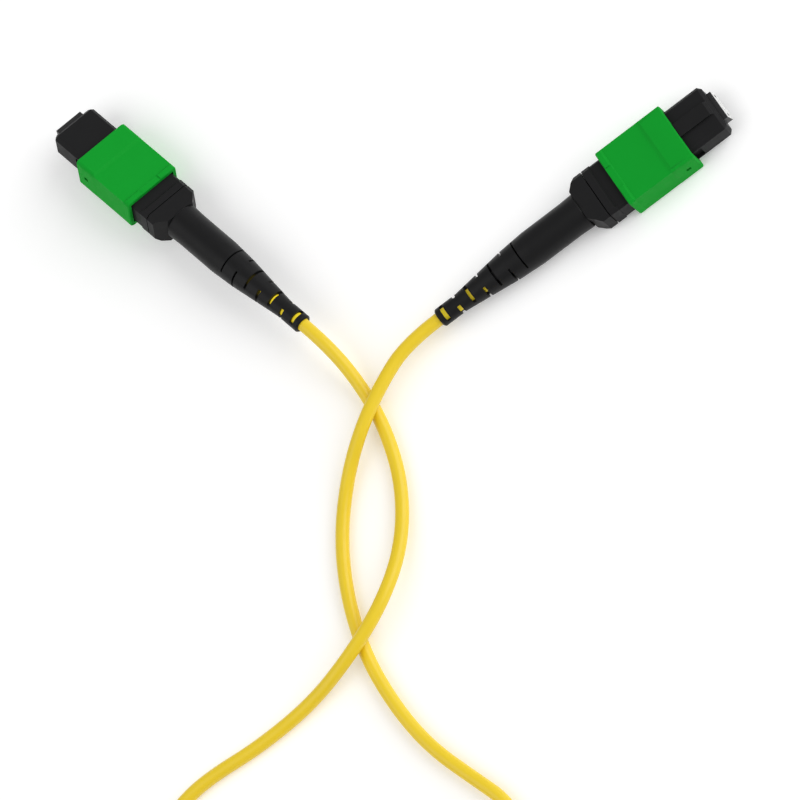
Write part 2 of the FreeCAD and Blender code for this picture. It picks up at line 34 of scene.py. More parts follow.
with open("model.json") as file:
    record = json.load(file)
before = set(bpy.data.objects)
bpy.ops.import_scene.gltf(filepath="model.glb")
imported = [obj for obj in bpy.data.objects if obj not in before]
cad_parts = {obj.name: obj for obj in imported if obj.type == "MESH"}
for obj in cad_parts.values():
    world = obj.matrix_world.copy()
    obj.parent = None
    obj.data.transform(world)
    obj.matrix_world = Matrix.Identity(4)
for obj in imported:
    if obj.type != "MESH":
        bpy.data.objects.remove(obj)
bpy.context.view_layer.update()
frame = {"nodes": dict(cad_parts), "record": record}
nodes = frame["nodes"]
ends = ("a", "b")
bodies = frame["record"]["behaviour"]["bodies"]
bodyOf = {node: body for body, members in bodies.items() for node in members}
mounts = {mount["name"]: mount for mount in frame["record"]["mounts"]}
mm = 0.001


def plugAxes(end):
    # a plug's own directions, read from its mounts: forward, to its left, and to its key side
    forward = Vector(mounts["adapter_" + end]["axis"])
    left = Vector(mounts["guide_bore_" + end + "_left"]["pos_m"])
    right = Vector(mounts["guide_bore_" + end + "_right"]["pos_m"])
    side = (left - right).normalized()
    return {"middle": (left + right) / 2, "forward": forward, "side": side, "keyward": forward.cross(side)}


plugs = {end: plugAxes(end) for end in ends}
print("frame loaded:", len(nodes), "nodes")


# the camera looks almost straight down from far away; places in mm
cameraSetup = {
    "place": (118.0, -400.1, 856.4),
    "target": (-27.3, -44.6, 0.0),
    "up": (0.595, 0.773, 0.22),
    "lens": 219.6,
    "sensor": 36.0,
    "near": 10.0,
    "far": 10000.0,
}


def makeCamera(setup):
    place = Vector(setup["place"]) * mm
    back = (place - Vector(setup["target"]) * mm).normalized()
    right = Vector(setup["up"]).cross(back).normalized()
    up = back.cross(right)
    data = bpy.data.cameras.new("camera")
    data.lens = setup["lens"]
    data.sensor_width = setup["sensor"]
    data.clip_start = setup["near"] * mm
    data.clip_end = setup["far"] * mm
    camera = bpy.data.objects.new("camera", data)
    bpy.context.scene.collection.objects.link(camera)
    turn = Matrix((right, up, back)).transposed()
    camera.matrix_world = Matrix.Translation(place) @ turn.to_4x4()
    bpy.context.scene.camera = camera


makeCamera(cameraSetup)


def newNode(tree, kind, **values):
    node = tree.nodes.new(kind)
    for name, value in values.items():
        setattr(node, name, value)
    return node


def feed(tree, socket, value):
    # another node's output is linked to the socket; a number, a place or a colour is set on it
    if isinstance(value, bpy.types.NodeSocket):
        tree.links.new(value, socket)
    elif socket.type == "RGBA":
        socket.default_value = (*value, 1.0)
    else:
        socket.default_value = value


def feedAll(tree, node, values):
    for label, value in values.items():
        feed(tree, node.inputs[label], value)


def mathNode(tree, operation, *values):
    node = newNode(tree, "ShaderNodeMath", operation=operation)
    for socket, value in zip(node.inputs, values):
        feed(tree, socket, value)
    return node.outputs[0]


def vectorNode(tree, operation, first, second):
    node = newNode(tree, "ShaderNodeVectorMath", operation=operation)
    feed(tree, node.inputs[0], first)
    feed(tree, node.inputs[1], second)
    return node.outputs


def mixColour(tree, share, first, second):
    node = newNode(tree, "ShaderNodeMix", data_type="RGBA")
    for index, value in ((0, share), (6, first), (7, second)):  # where this node keeps its colour sockets
        feed(tree, node.inputs[index], value)
    return node.outputs[2]


def spread(tree, value, low, high, outLow, outHigh):
    node = newNode(tree, "ShaderNodeMapRange")
    for socket, part in zip(node.inputs, (value, low, high, outLow, outHigh)):
        feed(tree, socket, part)
    return node.outputs[0]


def distanceAlong(tree, place, origin, axis):
    # signed distance past a point along an axis, in mm
    shift = vectorNode(tree, "SUBTRACT", place, origin)["Vector"]
    reach = vectorNode(tree, "DOT_PRODUCT", shift, axis)["Value"]
    return mathNode(tree, "DIVIDE", reach, mm)


def noiseOn(tree, place, scale, **values):
    noise = newNode(tree, "ShaderNodeTexNoise")
    feedAll(tree, noise, {"Vector": place, "Scale": scale} | values)
    return noise.outputs["Fac"]


def newGroup(name, numbers, results):
    # a node group that takes a place and some numbers, and gives the named numbers back
    tree = bpy.data.node_groups.new(name, "ShaderNodeTree")
    tree.interface.new_socket("Place", in_out="INPUT", socket_type="NodeSocketVector")
    for label, value in numbers.items():
        socket = tree.interface.new_socket(label, in_out="INPUT", socket_type="NodeSocketFloat")
        socket.default_value = value
    for label in results:
        tree.interface.new_socket(label, in_out="OUTPUT", socket_type="NodeSocketFloat")
    return tree, newNode(tree, "NodeGroupInput"), newNode(tree, "NodeGroupOutput")


grainSetup = {"fine": 9000.0, "fineDetail": 3, "swell": 260.0, "swellDetail": 2, "swellShare": 0.6}


def makeMouldGrainGroup(setup):
    # the fine spark texture of a mould, with slow swells where the plastic sank
    scales = {"Fine": setup["fine"], "Swell": setup["swell"]}
    tree, given, result = newGroup("mouldGrain", scales, ("Height", "Blotch"))
    place = given.outputs["Place"]
    fine = noiseOn(tree, place, given.outputs["Fine"], Detail=setup["fineDetail"])
    swell = noiseOn(tree, place, given.outputs["Swell"], Detail=setup["swellDetail"])
    height = mathNode(tree, "MULTIPLY_ADD", swell, setup["swellShare"], fine)
    feedAll(tree, result, {"Height": height, "Blotch": swell})
    return tree


# wear begins where the rounded normal turns this far from the face's own; the reach in mm
wearSetup = {
    "reach": 0.15,
    "samples": 4,
    "turned": (0.985, 0.90),
    "patches": 1400,
    "broken": (0.35, 0.62),
    "least": 0.15,
}


def makeEdgeWearGroup(setup):
    # corners rubbed paler and smoother by handling, broken up by noise
    tree, given, result = newGroup("edgeWear", {}, ("Wear",))
    rounded = newNode(tree, "ShaderNodeBevel", samples=setup["samples"])
    feed(tree, rounded.inputs["Radius"], setup["reach"] * mm)
    shape = newNode(tree, "ShaderNodeNewGeometry")
    turn = vectorNode(tree, "DOT_PRODUCT", rounded.outputs[0], shape.outputs["Normal"])["Value"]
    edge = spread(tree, turn, *setup["turned"], 0.0, 1.0)
    patches = noiseOn(tree, given.outputs["Place"], setup["patches"])
    broken = spread(tree, patches, *setup["broken"], setup["least"], 1.0)
    feed(tree, result.inputs["Wear"], mathNode(tree, "MULTIPLY", edge, broken))
    return tree


handlingSetup = {
    "smudge": 420.0,
    "smudgeRange": (0.3, 0.7),
    "detail": 5,
    "distortion": 1.2,
    "lint": 2600,
    "lintSize": (0.05, 0.02),
}


def makeHandlingGroup(setup):
    # faint rubbed streaks and specks of lint
    tree, given, result = newGroup("handling", {"Scale": setup["smudge"]}, ("Smudge", "Lint"))
    place = given.outputs["Place"]
    scale = given.outputs["Scale"]
    smudge = noiseOn(tree, place, scale, Detail=setup["detail"], Distortion=setup["distortion"])
    lint = newNode(tree, "ShaderNodeTexVoronoi")
    feedAll(tree, lint, {"Vector": place, "Scale": setup["lint"]})
    specks = spread(tree, lint.outputs["Distance"], *setup["lintSize"], 0.0, 1.0)
    feedAll(tree, result, {"Smudge": smudge, "Lint": specks})
    return tree


groups = {
    "mouldGrain": makeMouldGrainGroup(grainSetup),
    "edgeWear": makeEdgeWearGroup(wearSetup),
    "handling": makeHandlingGroup(handlingSetup),
}


def useGroup(tree, name, place, **values):
    node = newNode(tree, "ShaderNodeGroup", node_tree=groups[name])
    feedAll(tree, node, {"Place": place} | values)
    return node.outputs


def startMaterial(name):
    material = bpy.data.materials.new(name)
    material.use_nodes = True
    tree = material.node_tree
    shader = tree.nodes["Principled BSDF"]
    place = newNode(tree, "ShaderNodeTexCoord").outputs["Object"]
    return material, tree, shader, place


def addBump(tree, shader, height, look):
    bump = newNode(tree, "ShaderNodeBump")
    feedAll(tree, bump, {"Strength": look["bump"], "Distance": look["bumpDepth"] * mm, "Height": height})
    feed(tree, shader.inputs["Normal"], bump.outputs["Normal"])


def setSurface(tree, shader, body, rough, height, look):
    feedAll(tree, shader, {"Base Color": body, "Roughness": rough, "Specular IOR Level": look["gloss"]})
    addBump(tree, shader, height, look)


def streakedRoughness(tree, touch, look):
    # smoother and rougher in streaks, as handling leaves it
    return spread(tree, touch["Smudge"], *handlingSetup["smudgeRange"], look["smooth"], look["rough"])


def mouldedSurface(tree, place, look):
    grain = useGroup(tree, "mouldGrain", place, Fine=look["grainScale"])
    wear = useGroup(tree, "edgeWear", place)
    touch = useGroup(tree, "handling", place)
    rubbed = mathNode(tree, "MULTIPLY", wear["Wear"], look["wear"])
    lint = mathNode(tree, "MULTIPLY", touch["Lint"], look["lint"])
    body = mixColour(tree, grain["Blotch"], look["deep"], look["pale"])
    body = mixColour(tree, rubbed, body, look["rubbed"])
    body = mixColour(tree, lint, body, look["dust"])
    rough = streakedRoughness(tree, touch, look)
    rough = mathNode(tree, "MULTIPLY_ADD", rubbed, -look["rubbedSmoother"], rough)
    return body, rough, grain["Height"]


def makeMouldedPlastic(name, look):
    # satin moulded plastic: body colour, rubbed corners, sink swells and spark grain
    material, tree, shader, place = startMaterial(name)
    body, rough, height = mouldedSurface(tree, place, look)
    setSurface(tree, shader, body, rough, height, look)
    return material


blackPlastic = {
    "deep": (0.0130, 0.0130, 0.0135),
    "pale": (0.0150, 0.0150, 0.0155),
    "rubbed": (0.040, 0.040, 0.042),
    "dust": (0.10, 0.10, 0.10),
    "grainScale": 9000.0,
    "wear": 0.5,
    "rubbedSmoother": 0.08,
    "lint": 0.25,
    "smooth": 0.40,
    "rough": 0.52,
    "gloss": 0.07,
    "bump": 0.22,
    "bumpDepth": 0.02,  # mm
}
bootPlastic = blackPlastic | {
    "deep": (0.0085, 0.0085, 0.0090),
    "pale": (0.0100, 0.0100, 0.0105),
    "smooth": 0.36,
    "rough": 0.46,
    "gloss": 0.14,
    "grainScale": 7000.0,
    "wear": 0.3,
}
greenPlastic = blackPlastic | {
    "deep": (0.0045, 0.305, 0.0230),
    "pale": (0.0050, 0.322, 0.0250),
    "rubbed": (0.02, 0.42, 0.07),
    "dust": (0.25, 0.55, 0.30),
    "wear": 0.35,
    "lint": 0.12,
    "smooth": 0.56,
    "rough": 0.68,
    "gloss": 0.06,
    "bump": 0.15,
}
ferrulePlastic = blackPlastic | {
    "smooth": 0.30,
    "rough": 0.40,
    "grainScale": 12000.0,
    "gloss": 0.45,
    "bumpDepth": 0.01,
}
rubberLook = blackPlastic | {"smooth": 0.6, "rough": 0.75, "gloss": 0.25, "bump": 0.4}
keeperLook = blackPlastic | {
    "deep": (0.42, 0.42, 0.39),
    "pale": (0.50, 0.50, 0.47),
    "rubbed": (0.6, 0.6, 0.57),
    "dust": (0.2, 0.2, 0.2),
}
ribbonLook = keeperLook | {"deep": (0.10, 0.30, 0.60), "pale": (0.16, 0.38, 0.70), "bumpDepth": 0.01}


# the ground front of a ferrule with its row of glass fibres; sizes in mm
polish = {
    "face": (0.70, 0.70, 0.69),
    "speck": (0.56, 0.56, 0.55),
    "speckScale": 16000,
    "speckRange": (0.45, 0.65),
    "ring": (0.10, 0.10, 0.11),
    "core": (0.95, 0.97, 1.0),
    "fadeIn": (-0.05, -0.02),
    "smoother": 0.15,
    "pitch": 0.25,
    "fibres": 12,
    "glassRadius": 0.0625,
    "coreRadius": 0.02,
}


def fibreRow(tree, place, plug, polish):
    # where the glass and its core are: one row of fibres through the middle of the face
    across = distanceAlong(tree, place, plug["middle"], plug["side"])
    upward = distanceAlong(tree, place, plug["middle"], plug["keyward"])
    pitch = polish["pitch"]
    nearest = mathNode(tree, "ADD", mathNode(tree, "FLOOR", mathNode(tree, "DIVIDE", across, pitch)), 0.5)
    offset = mathNode(tree, "MULTIPLY_ADD", nearest, -pitch, across)
    squares = [mathNode(tree, "POWER", part, 2.0) for part in (offset, upward)]
    radius = mathNode(tree, "SQRT", mathNode(tree, "ADD", *squares))
    inRow = mathNode(tree, "LESS_THAN", mathNode(tree, "ABSOLUTE", across), pitch * polish["fibres"] / 2)
    glass = mathNode(tree, "LESS_THAN", radius, polish["glassRadius"])
    core = mathNode(tree, "LESS_THAN", radius, polish["coreRadius"])
    return mathNode(tree, "MULTIPLY", inRow, glass), mathNode(tree, "MULTIPLY", inRow, core)


def makeGroundFinish(name, end, look, polish):
    # a piece whose slanted front face is ground pale and set with a row of twelve glass fibres
    material, tree, shader, place = startMaterial(name + end.upper())
    body, rough, height = mouldedSurface(tree, place, look)
    mount = mounts["polished_face_" + end]
    depth = distanceAlong(tree, place, mount["pos_m"], mount["axis"])
    onFace = spread(tree, depth, *polish["fadeIn"], 0.0, 1.0)
    specks = spread(tree, noiseOn(tree, place, polish["speckScale"]), *polish["speckRange"], 0.0, 1.0)
    glass, core = fibreRow(tree, place, plugs[end], polish)
    face = mixColour(tree, specks, polish["face"], polish["speck"])
    face = mixColour(tree, glass, face, polish["ring"])
    face = mixColour(tree, core, face, polish["core"])
    body = mixColour(tree, onFace, body, face)
    rough = mathNode(tree, "MULTIPLY_ADD", onFace, -polish["smoother"], rough)
    setSurface(tree, shader, body, rough, height, look)
    return material


jacketLook = {
    "deep": (0.80, 0.575, 0.014),
    "pale": (0.86, 0.620, 0.019),
    "dust": (0.45, 0.36, 0.12),
    "lint": 0.12,
    "grainScale": 4200.0,
    "swell": 160.0,
    "streaks": 240.0,
    "smooth": 0.30,
    "rough": 0.40,
    "gloss": 0.45,
    "bump": 0.12,
    "bumpDepth": 0.03,  # mm
}


def jacketSurface(tree, place, look):
    grain = useGroup(tree, "mouldGrain", place, Fine=look["grainScale"], Swell=look["swell"])
    touch = useGroup(tree, "handling", place, Scale=look["streaks"])
    lint = mathNode(tree, "MULTIPLY", touch["Lint"], look["lint"])
    body = mixColour(tree, grain["Blotch"], look["deep"], look["pale"])
    body = mixColour(tree, lint, body, look["dust"])
    return body, streakedRoughness(tree, touch, look), grain["Height"]


def makeJacket(name, look):
    # extruded cord jacket: smooth and satin, with fine draw marks
    material, tree, shader, place = startMaterial(name)
    body, rough, height = jacketSurface(tree, place, look)
    setSurface(tree, shader, body, rough, height, look)
    return material


# the jacket inside a boot is painted paler than the cord: painted light, brightening it where the boot's
# slots shade it
paintedLightInsideLook = {"deep": (0.93, 0.70, 0.020), "pale": (0.97, 0.75, 0.028), "gloss": 0.3}

# painted shade: the jacket is painted black from a depth on, standing in for the shade deep in the boot's
# slots; and a painted glow on the jacket seen through them; depths in mm from the mouth
paintedShadeAndGlow = {
    "start": {"a": 12.3, "b": 16.3},
    "fade": 0.25,
    "colour": (0.006, 0.006, 0.0065),
    "paintedGlow": {"a": 0.16, "b": 0.42},
    "dimAtMouth": {"a": 0.0, "b": 0.8},
    "dimUntil": 2.0,
    "fullPaintedGlow": 9.0,
}


def boreToMouth(end):
    # from the middle of the guide bores back to the boot's mouth, along the plug
    middle, forward = plugs[end]["middle"], plugs[end]["forward"]
    return max((middle - vertex.co).dot(forward) for vertex in nodes["boot_" + end].data.vertices)


def makeJacketEnd(end, look, paintedShadeAndGlow):
    # the jacket inside a boot: yellow at the mouth, painted black further in as painted shade of the slots,
    # and given a painted glow
    material, tree, shader, place = startMaterial("jacketEndShadedAndGlowing" + end.upper())
    body, rough, height = jacketSurface(tree, place, look)
    mouth = plugs[end]["middle"] - plugs[end]["forward"] * boreToMouth(end)
    depth = distanceAlong(tree, place, mouth, plugs[end]["forward"])
    start = paintedShadeAndGlow["start"][end]
    # painted shade: past the start depth the jacket turns black, standing in for the shade inside the boot
    paintedShadeShare = spread(tree, depth, start, start + paintedShadeAndGlow["fade"], 0.0, 1.0)
    paintedShadeBody = mixColour(tree, paintedShadeShare, body, paintedShadeAndGlow["colour"])
    setSurface(tree, shader, paintedShadeBody, rough, height, look)
    # painted light: an emission glow lights the jacket seen through the slots; for plug B it is dimmed near
    # the mouth
    dim = spread(tree, depth, paintedShadeAndGlow["dimUntil"], paintedShadeAndGlow["fullPaintedGlow"], paintedShadeAndGlow["dimAtMouth"][end], 0.0)
    paintedGlowColour = mixColour(tree, dim, paintedShadeBody, (0.0, 0.0, 0.0))
    feedAll(tree, shader, {"Emission Color": paintedGlowColour, "Emission Strength": paintedShadeAndGlow["paintedGlow"][end]})
    return material


springLook = {
    "colour": (0.62, 0.62, 0.63),
    "dark": 0.7,
    "bright": 1.15,
    "grainScale": 6000.0,
    "grainRange": (0.4, 1.2),
    "smooth": 0.18,
    "rough": 0.32,
    "bump": 0.15,
    "bumpDepth": 0.01,  # mm
}
crimpLook = springLook | {"colour": (0.72, 0.72, 0.71), "smooth": 0.28, "rough": 0.5}


def makeMetal(name, look):
    # drawn or crimped bright metal with fine grain and rubbed corners
    material, tree, shader, place = startMaterial(name)
    grain = useGroup(tree, "mouldGrain", place, Fine=look["grainScale"])
    wear = useGroup(tree, "edgeWear", place)
    dark = tuple(look["dark"] * part for part in look["colour"])
    bright = tuple(min(1.0, look["bright"] * part) for part in look["colour"])
    body = mixColour(tree, grain["Blotch"], dark, look["colour"])
    body = mixColour(tree, wear["Wear"], body, bright)
    rough = spread(tree, grain["Height"], *look["grainRange"], look["smooth"], look["rough"])
    feedAll(tree, shader, {"Base Color": body, "Roughness": rough, "Metallic": 1.0})
    addBump(tree, shader, grain["Height"], look)
    return material


yarnLook = {
    "deep": (0.52, 0.38, 0.10),
    "pale": (0.85, 0.70, 0.30),
    "strands": 5000,
    "rough": 0.7,
    "bump": 0.6,
    "bumpDepth": 0.05,  # mm
}


def makeYarn(name, look):
    # straw-coloured yarn, uneven from strand to strand
    material, tree, shader, place = startMaterial(name)
    strands = noiseOn(tree, place, look["strands"])
    body = mixColour(tree, strands, look["deep"], look["pale"])
    feedAll(tree, shader, {"Base Color": body, "Roughness": look["rough"]})
    addBump(tree, shader, strands, look)
    return material


strapLook = {
    "deep": (0.010, 0.010, 0.011),
    "pale": (0.040, 0.040, 0.042),
    "weave": 1400.0,
    "fuzz": 6000,
    "fuzzShare": 0.5,
    "heightRange": (0.2, 1.2),
    "roughRange": (0.95, 0.7),
    "sheen": 0.3,
    "bump": 0.8,
    "bumpDepth": 0.1,  # mm
}


def makeStrap(name, look):
    # black hook-and-loop strap: a plain weave with a fuzz of loops
    material, tree, shader, place = startMaterial(name)
    checks = []
    for direction in "XZ":
        wave = newNode(tree, "ShaderNodeTexWave", wave_type="BANDS", bands_direction=direction)
        feedAll(tree, wave, {"Vector": place, "Scale": look["weave"]})
        checks.append(wave.outputs["Fac"])
    weave = mathNode(tree, "MULTIPLY", *checks)
    fuzz = noiseOn(tree, place, look["fuzz"])
    height = mathNode(tree, "MULTIPLY_ADD", fuzz, look["fuzzShare"], weave)
    body = mixColour(tree, weave, look["deep"], look["pale"])
    rough = spread(tree, height, *look["heightRange"], *look["roughRange"])
    feedAll(tree, shader, {"Base Color": body, "Roughness": rough, "Sheen Weight": look["sheen"]})
    addBump(tree, shader, height, look)
    return material


materials = {
    "housing": makeMouldedPlastic("housingBlack", blackPlastic),
    "boot": makeMouldedPlastic("bootBlack", bootPlastic),
    "sleeve": makeMouldedPlastic("sleeveGreen", greenPlastic),
    "rubber": makeMouldedPlastic("ferruleBootRubber", rubberLook),
    "keeper": makeMouldedPlastic("keeperCream", keeperLook),
    "jacket": makeJacket("cordYellow", jacketLook),
    "spring": makeMetal("springWire", springLook),
    "crimp": makeMetal("crimpMetal", crimpLook),
    "aramid": makeYarn("aramidYarn", yarnLook),
    "strap": makeStrap("tieStrap", strapLook),
}
for end in ends:
    materials["ferrule" + end.upper()] = makeGroundFinish("ferrule", end, ferrulePlastic, polish)
    materials["ribbon" + end.upper()] = makeGroundFinish("fibreRibbon", end, ribbonLook, polish)
    materials["jacketEndShadedAndGlowing" + end.upper()] = makeJacketEnd(end, jacketLook | paintedLightInsideLook, paintedShadeAndGlow)
print("materials made:", len(materials))


def materialOf(name, end):
    # a few finishes follow the place of one plug, so they come once for each end
    return materials[name] if name in materials else materials[name + end.upper()]


def paint(piece, material):
    piece.data.materials.clear()
    piece.data.materials.append(material)


def pick(piece):
    bpy.ops.object.select_all(action="DESELECT")
    bpy.context.view_layer.objects.active = piece
    piece.select_set(True)


# one cord, out of plug A, round the coil and back to plug B; places in mm
cordShape = {
    "diameter": 2.7,
    "lying": 1.35,
    "over": 4.65,
    "heightA": 3.9,
    "heightB": 5.898,
    "coilCentre": (-92.4, -123.9),
    "turns": (17.6, 14.9, 12.2),
    "low": 2.0,
    "high": 4.5,
    "joinAngle": -95.0,
    "leaveAngle": 213.3,
    "halfStep": 30,
    "stepsPerTurn": 16,
    "roundness": 6,
}


def cordRoute(shape):
    heightA = shape["heightA"]
    heightB = shape["heightB"]
    lying = shape["lying"]
    over = shape["over"]
    fromA = [
        (-11.5, -37.7, heightA),
        (-19.7, -37.7, heightA),
        (-28.2, -41.7, over),
        (-36.0, -46.4, over),
        (-44.0, -51.8, 1.9),
        (-51.5, -60.7, lying),
        (-56.8, -71.5, lying),
        (-59.8, -83.0, lying),
        (-60.2, -94.9, lying),
        (-58.7, -105.5, lying),
        (-55.0, -115.2, lying),
        (-51.8, -123.2, lying),
        (-52.7, -131.2, 1.5),
        (-57.3, -138.2, 2.1),
        (-64.9, -142.1, 2.9),
        (-79.3, -143.0, shape["high"]),
    ]
    fromB = [
        (-34.0, -22.3, heightB),
        (-32.033, -29.641, heightB),
        (-31.8, -38.4, 1.8),
        (-32.5, -48.1, lying),
        (-35.6, -59.2, lying),
        (-42.0, -69.6, 2.1),
        (-51.0, -77.7, over),
        (-62.3, -82.5, over),
        (-73.8, -84.4, 1.7),
        (-86.6, -84.9, lying),
        (-97.0, -84.0, lying),
        (-103.7, -84.3, lying),
        (-112.3, -86.7, lying),
        (-119.5, -92.9, lying),
        (-122.7, -102.3, lying),
        (-120.8, -112.8, lying),
        (-114.2, -123.5, 1.5),
    ]
    return fromA + coilTurns(shape) + fromB[::-1]


def coilStages(shape):
    # upper layer inwards, down at the inner ring, lower layer outwards, all clockwise;
    # the cord changes rings over half a step before and after the end of each turn
    rings = [(radius, shape["high"]) for radius in shape["turns"]]
    rings += [(radius, shape["low"]) for radius in reversed(shape["turns"])]
    stages = []
    for turn, ring in enumerate(rings):
        start = shape["joinAngle"] - 360 * turn
        stages.append((start - shape["halfStep"], *ring))
        stages.append((start - 360 + shape["halfStep"], *ring))
    stages[0] = (shape["joinAngle"], *rings[0])
    stages[-1] = (shape["leaveAngle"] - 360 * (len(rings) + 1), *rings[-1])
    return stages


def coilTurns(shape):
    stages = coilStages(shape)
    first = stages[0][0]
    last = stages[-1][0]
    count = round((first - last) / 360 * shape["stepsPerTurn"])
    points = []
    for index in range(count + 1):
        angle = first + (last - first) * index / count
        radius, height = stageAt(stages, angle)
        turn = math.radians(angle)
        x = shape["coilCentre"][0] + radius * math.cos(turn)
        y = shape["coilCentre"][1] + radius * math.sin(turn)
        points.append((x, y, height))
    return points


def stageAt(stages, angle):
    for (start, radius, height), (finish, nextRadius, nextHeight) in zip(stages, stages[1:]):
        if finish <= angle + 1e-6:  # the margin takes up rounding
            share = (start - angle) / (start - finish)
            return radius + (nextRadius - radius) * share, height + (nextHeight - height) * share
    return stages[-1][1:]


def makeCord(shape):
    curve = bpy.data.curves.new("cord", "CURVE")
    curve.dimensions = "3D"
    curve.bevel_depth = shape["diameter"] / 2 * mm
    curve.bevel_resolution = shape["roundness"]
    curve.resolution_u = shape["roundness"]
    curve.use_fill_caps = True
    route = cordRoute(shape)
    spline = curve.splines.new("NURBS")
    spline.points.add(len(route) - 1)
    for point, place in zip(spline.points, route):
        point.co = (*[part * mm for part in place], 1.0)
    spline.order_u = 3
    spline.use_endpoint_u = True
    cord = bpy.data.objects.new("cord", curve)
    bpy.context.scene.collection.objects.link(cord)
    cord.data.materials.append(materials["jacket"])
    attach(cord, "cord_assembly")
    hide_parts("cord_run_a", "cord_run_b", "cord_coil")
    return cord


def declareCord(cord, shape):
    length = measureRoute(cord)
    print("cord length in mm:", round(length / mm, 1))
    start = [part * mm for part in cordRoute(shape)[0]]


def measureRoute(cord):
    # the spline's own length, read from a copy with no thickness
    thin = cord.data.copy()
    thin.bevel_depth = 0
    holder = bpy.data.objects.new("thin", thin)
    bpy.context.scene.collection.objects.link(holder)
    bpy.context.view_layer.update()
    mesh = bpy.data.meshes.new_from_object(holder.evaluated_get(bpy.context.evaluated_depsgraph_get()))
    length = 0
    for edge in mesh.edges:
        start, finish = (mesh.vertices[index].co for index in edge.vertices)
        length += (start - finish).length
    bpy.data.objects.remove(holder)
    bpy.data.meshes.remove(mesh)
    return length


cord = makeCord(cordShape)


# the strap that holds the coil; sizes in mm, its bearing seen from the coil in degrees
strapShape = {
    "bearing": 150.0,
    "width": 5.2,
    "inside": 10.45,
    "outside": 19.05,
    "low": 0.56,
    "high": 5.98,
    "corner": 1.2,
    "cornerSegments": 6,
    "facing": 0.9,  # how squarely a face looks at a side to be part of it
    "thick": 0.5,
    "tailLength": 5.6,
    "tailCorner": 1.3,
    "tailSegments": 5,
    "edge": 0.12,
    "edgeSegments": 3,
    "smooth": 35.0,
}


def editFaces(piece, wanted):
    # goes into edit mode with just the wanted faces and their edges picked
    bpy.ops.object.mode_set(mode="EDIT")
    bpy.ops.mesh.select_mode(type="FACE")
    bpy.ops.mesh.select_all(action="DESELECT")
    mesh = bmesh.from_edit_mesh(piece.data)
    for face in mesh.faces:
        if wanted(face.normal):
            face.select_set(True)
    bmesh.update_edit_mesh(piece.data)


def addBlock(name, middle, size, bearing):
    bpy.ops.object.select_all(action="DESELECT")
    bpy.ops.mesh.primitive_cube_add(size=1, location=middle, rotation=(0, 0, bearing), scale=size)
    block = bpy.context.active_object
    block.name = name
    bpy.ops.object.transform_apply(location=True, rotation=True, scale=True)
    return block


def strapMiddle(shape, outward, height):
    # where the strap crosses the bundle of turns, at a height
    centre = Vector((*cordShape["coilCentre"], 0))
    middle = centre + outward * (shape["inside"] + shape["outside"]) / 2
    middle.z = height
    return middle * mm


def makeStrapLoop(shape, bearing, outward, across):
    # a band once round the bundle: a block with every edge rounded, opened at both sides and given a wall,
    # so that its rims turn in a little
    middle = strapMiddle(shape, outward, (shape["low"] + shape["high"]) / 2)
    size = (shape["outside"] - shape["inside"], shape["width"], shape["high"] - shape["low"])
    loop = addBlock("tieStrap", middle, [part * mm for part in size], bearing)
    editFaces(loop, lambda normal: True)
    bpy.ops.mesh.bevel(offset=shape["corner"] * mm, segments=shape["cornerSegments"], affect="EDGES")
    editFaces(loop, lambda normal: abs(normal.dot(across)) > shape["facing"])
    bpy.ops.mesh.delete(type="FACE")
    bpy.ops.object.mode_set(mode="OBJECT")
    wall = loop.modifiers.new("wall", "SOLIDIFY")
    wall.thickness = shape["thick"] * mm
    wall.offset = 1
    bpy.ops.object.modifier_apply(modifier="wall")
    return loop


def makeStrapTail(shape, bearing, outward):
    # the end of the band over its own start; its free end is rounded on all four edges, by more than
    # the band's thickness, so that its edge turns up
    height = shape["high"] + 1.5 * shape["thick"]  # past the band's wall, and half its own
    middle = strapMiddle(shape, outward, height)
    size = (shape["tailLength"], shape["width"], shape["thick"])
    tail = addBlock("tieTail", middle, [part * mm for part in size], bearing)
    editFaces(tail, lambda normal: normal.dot(outward) < -shape["facing"])
    bpy.ops.mesh.bevel(offset=shape["tailCorner"] * mm, segments=shape["tailSegments"], affect="EDGES")
    bpy.ops.object.mode_set(mode="OBJECT")
    return tail


def makeStrapPieces(shape):
    bearing = math.radians(shape["bearing"])
    outward = Vector((math.cos(bearing), math.sin(bearing), 0))
    across = Vector((-math.sin(bearing), math.cos(bearing), 0))
    pieces = [makeStrapLoop(shape, bearing, outward, across), makeStrapTail(shape, bearing, outward)]
    for piece in pieces:
        pick(piece)
        edge = piece.modifiers.new("edge", "BEVEL")
        edge.width = shape["edge"] * mm
        edge.segments = shape["edgeSegments"]
        bpy.ops.object.modifier_apply(modifier="edge")
        bpy.ops.object.shade_smooth_by_angle(angle=math.radians(shape["smooth"]))
        paint(piece, materials["strap"])
        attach(piece, "cord_assembly")
    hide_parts("coil_tie")
    return pieces


strapPieces = makeStrapPieces(strapShape)
declareCord(cord, cordShape)
print("cord and strap made")


# sizes in mm, angles in degrees
copySettings = {"merge": 0.001, "flat": 1.0, "segments": 3, "sharp": 35.0, "smooth": 35.0}


